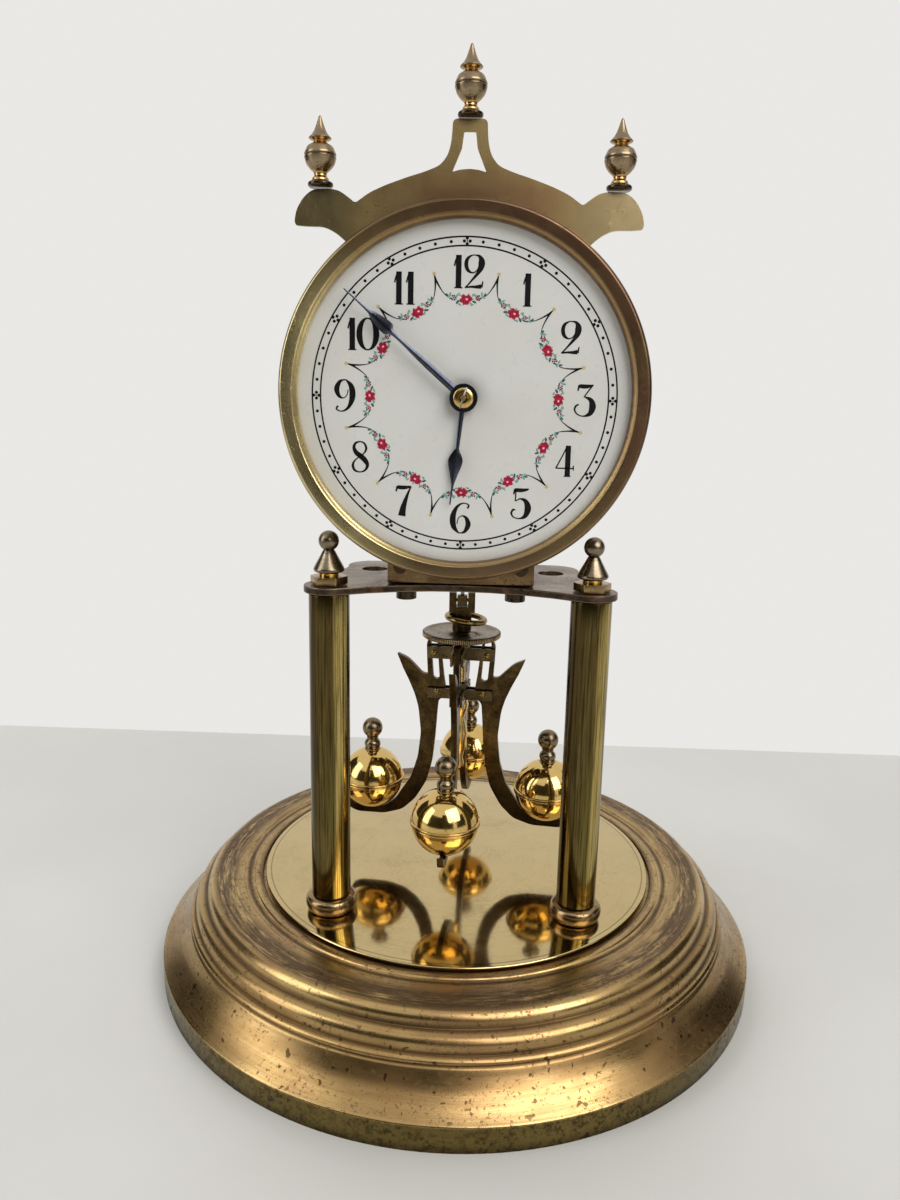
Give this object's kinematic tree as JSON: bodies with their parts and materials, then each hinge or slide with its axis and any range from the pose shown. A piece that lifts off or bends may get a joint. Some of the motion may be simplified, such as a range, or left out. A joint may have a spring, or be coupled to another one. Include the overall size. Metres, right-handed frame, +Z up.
{
  "type": "anniversary clock",
  "caption": "Torsion pendulum clock on a stepped round base, with a round dial between turned pillars and crest finials, a rotary ball pendulum and a geared movement.",
  "frame": {"origin": "centre of the base's foot ring, on the surface that the clock stands on", "axes": "+Z up, the dial faces -Y, +X to the right when looking at the dial"},
  "size_m": [0.195, 0.195, 0.2692],
  "materials": {
    "base_brass": "aged spun brass with a darker worn top ring, satin",
    "disc_brass": "mirror polished, finely scratched",
    "pillar_brass": "polished, streaked along its length",
    "dull_nickel": "dull brown-grey plated brass",
    "steel": "plain bright steel",
    "platform_brass": "dark reddish-brown tarnished brass",
    "movement_brass": "plain lacquered brass",
    "dial_enamel": "glossy off-white enamel with black numerals and a flower garland",
    "bezel_brass": "satin aged brass",
    "crest_brass": "satin, brushed upright",
    "finial_brass": "polished, tarnished in the hollows",
    "blued_steel": "blue-black polished steel",
    "washer_brass": "polished",
    "pendulum_bronze": "dark tarnished bronze",
    "rating_nickel": "grey-brown, knurled edge",
    "ball_brass": "mirror polished gold-coloured brass"
  },
  "bodies": {
    "frame": {"base_shell": "base_brass", "base_disc": "disc_brass", "foot_collar_left": "dull_nickel", "foot_collar_right": "dull_nickel", "pillar_left": "pillar_brass", "pillar_right": "pillar_brass", "tie_rod_left": "steel", "tie_rod_right": "steel", "pillar_finial_left": "dull_nickel", "pillar_finial_right": "dull_nickel", "platform": "platform_brass", "seat_bracket": "platform_brass", "seat_screw_left": "platform_brass", "seat_screw_right": "platform_brass", "front_plate": "movement_brass", "back_plate": "movement_brass", "suspension_bracket": "movement_brass", "top_block": "movement_brass", "suspension_spring": "steel", "dial": "dial_enamel", "bezel": "bezel_brass", "crest": "crest_brass", "crest_finial_centre": "finial_brass", "crest_finial_left": "finial_brass", "crest_finial_right": "finial_brass"},
    "pendulum": {"pendulum_hook": "pendulum_bronze", "hook_ring": "finial_brass", "lower_cross": "pendulum_bronze", "bottom_block": "movement_brass"},
    "rating_nut": {"rating_disc": "rating_nickel"},
    "travelling_cross": {"upper_cross": "pendulum_bronze"},
    "front_arm": {"arm_front": "pendulum_bronze", "ball_front": "ball_brass"},
    "right_arm": {"arm_right": "pendulum_bronze", "ball_right": "ball_brass"},
    "back_arm": {"arm_back": "pendulum_bronze", "ball_back": "ball_brass"},
    "left_arm": {"arm_left": "pendulum_bronze", "ball_left": "ball_brass"},
    "crutch_fork": {"fork": "movement_brass"},
    "pallet_anchor": {"anchor": "steel"},
    "centre_arbor": {"centre_wheel": "movement_brass", "cannon_pinion": "movement_brass", "minute_hand": "blued_steel", "hand_washer": "washer_brass", "hand_pin": "washer_brass"},
    "second_arbor": {"second_wheel": "movement_brass"},
    "intermediate_arbor": {"intermediate_wheel": "movement_brass"},
    "mainspring_barrel": {"barrel": "movement_brass", "barrel_cover": "movement_brass", "mainspring": "steel"},
    "third_arbor": {"third_wheel": "movement_brass"},
    "escape_arbor": {"escape_wheel": "movement_brass"},
    "minute_arbor": {"minute_wheel": "movement_brass"},
    "hour_pipe": {"hour_wheel": "movement_brass", "hour_hand": "blued_steel"},
    "winding": {"winding_arbor": "steel", "ratchet_wheel": "steel"},
    "pawl": {"click": "steel"}
  },
  "joints": [
    {"name": "pendulum_twist", "type": "hinge", "parent": "frame", "child": "pendulum", "pos_m": [0, 0, 0.119], "axis": [0, 0, 1], "range_deg": [-150, 150], "stiffness_Nm_per_rad": 0.000025, "deforming": ["suspension_spring"]},
    {"name": "fork_turn", "type": "hinge", "parent": "frame", "child": "crutch_fork", "pos_m": [0, 0, 0.2225], "axis": [0, 0, 1], "range_deg": [-12.5, 12.5]},
    {"name": "anchor_rock", "type": "hinge", "parent": "frame", "child": "pallet_anchor", "pos_m": [0, 0, 0.2119], "axis": [0, 1, 0], "range_deg": [-6, 6]},
    {"name": "rating_turn", "type": "hinge", "parent": "pendulum", "child": "rating_nut", "pos_m": [0, 0, 0.108], "axis": [0, 0, 1], "range_deg": [-1080, 2520]},
    {"name": "cross_travel", "type": "slide", "parent": "pendulum", "child": "travelling_cross", "axis": [0, 0, 1], "range_m": [-0.0043, 0.0019]},
    {"name": "front_arm_tilt", "type": "hinge", "parent": "pendulum", "child": "front_arm", "pos_m": [-0.00078, -0.00746, 0.0882], "axis": [0.9945, -0.1045, 0], "range_deg": [-0.7, 1.5]},
    {"name": "right_arm_tilt", "type": "hinge", "parent": "pendulum", "child": "right_arm", "pos_m": [0.00746, -0.00078, 0.0882], "axis": [0.1045, 0.9945, 0], "range_deg": [-0.7, 1.5]},
    {"name": "back_arm_tilt", "type": "hinge", "parent": "pendulum", "child": "back_arm", "pos_m": [0.00078, 0.00746, 0.0882], "axis": [-0.9945, 0.1045, 0], "range_deg": [-0.7, 1.5]},
    {"name": "left_arm_tilt", "type": "hinge", "parent": "pendulum", "child": "left_arm", "pos_m": [-0.00746, 0.00078, 0.0882], "axis": [-0.1045, -0.9945, 0], "range_deg": [-0.7, 1.5]},
    {"name": "centre_spin", "type": "hinge", "parent": "frame", "child": "centre_arbor", "pos_m": [0, 0, 0.1826], "axis": [0, 1, 0], "continuous": true},
    {"name": "second_spin", "type": "hinge", "parent": "frame", "child": "second_arbor", "pos_m": [0.01069, 0, 0.17673], "axis": [0, 1, 0], "continuous": true},
    {"name": "intermediate_spin", "type": "hinge", "parent": "frame", "child": "intermediate_arbor", "pos_m": [0.01023, 0, 0.16384], "axis": [0, 1, 0], "continuous": true},
    {"name": "barrel_spin", "type": "hinge", "parent": "frame", "child": "mainspring_barrel", "pos_m": [-0.0075, 0, 0.1536], "axis": [0, 1, 0], "continuous": true},
    {"name": "third_spin", "type": "hinge", "parent": "frame", "child": "third_arbor", "pos_m": [-0.0064, 0, 0.19363], "axis": [0, 1, 0], "continuous": true},
    {"name": "escape_spin", "type": "hinge", "parent": "frame", "child": "escape_arbor", "pos_m": [0, 0, 0.20262], "axis": [0, 1, 0], "continuous": true},
    {"name": "minute_spin", "type": "hinge", "parent": "frame", "child": "minute_arbor", "pos_m": [0, 0, 0.1706], "axis": [0, 1, 0], "continuous": true},
    {"name": "hour_spin", "type": "hinge", "parent": "frame", "child": "hour_pipe", "pos_m": [0, 0, 0.1826], "axis": [0, 1, 0], "continuous": true},
    {"name": "winding_turn", "type": "hinge", "parent": "frame", "child": "winding", "pos_m": [-0.0075, 0, 0.1536], "axis": [0, -1, 0], "range_deg": [0, 3240]},
    {"name": "click_lift", "type": "hinge", "parent": "frame", "child": "pawl", "pos_m": [0.00093, 0, 0.16296], "axis": [0, 1, 0], "range_deg": [0, 15]}
  ],
  "couplings": [
    {"joint": "fork_turn", "follows": "pendulum_twist", "ratio": 0.08},
    {"joint": "anchor_rock", "follows": "pendulum_twist", "ratio": 0.0374},
    {"joint": "cross_travel", "follows": "rating_turn", "m_per_rad": -0.00009549},
    {"joint": "front_arm_tilt", "follows": "rating_turn", "ratio": 0.00055},
    {"joint": "right_arm_tilt", "follows": "rating_turn", "ratio": 0.00055},
    {"joint": "back_arm_tilt", "follows": "rating_turn", "ratio": 0.00055},
    {"joint": "left_arm_tilt", "follows": "rating_turn", "ratio": 0.00055},
    {"joint": "second_spin", "follows": "centre_spin", "ratio": -0.083333},
    {"joint": "intermediate_spin", "follows": "centre_spin", "ratio": 0.0083333},
    {"joint": "barrel_spin", "follows": "centre_spin", "ratio": -0.0010417},
    {"joint": "third_spin", "follows": "centre_spin", "ratio": -4},
    {"joint": "escape_spin", "follows": "centre_spin", "ratio": 12},
    {"joint": "minute_spin", "follows": "centre_spin", "ratio": -0.33333},
    {"joint": "hour_spin", "follows": "centre_spin", "ratio": 0.083333}
  ]
}
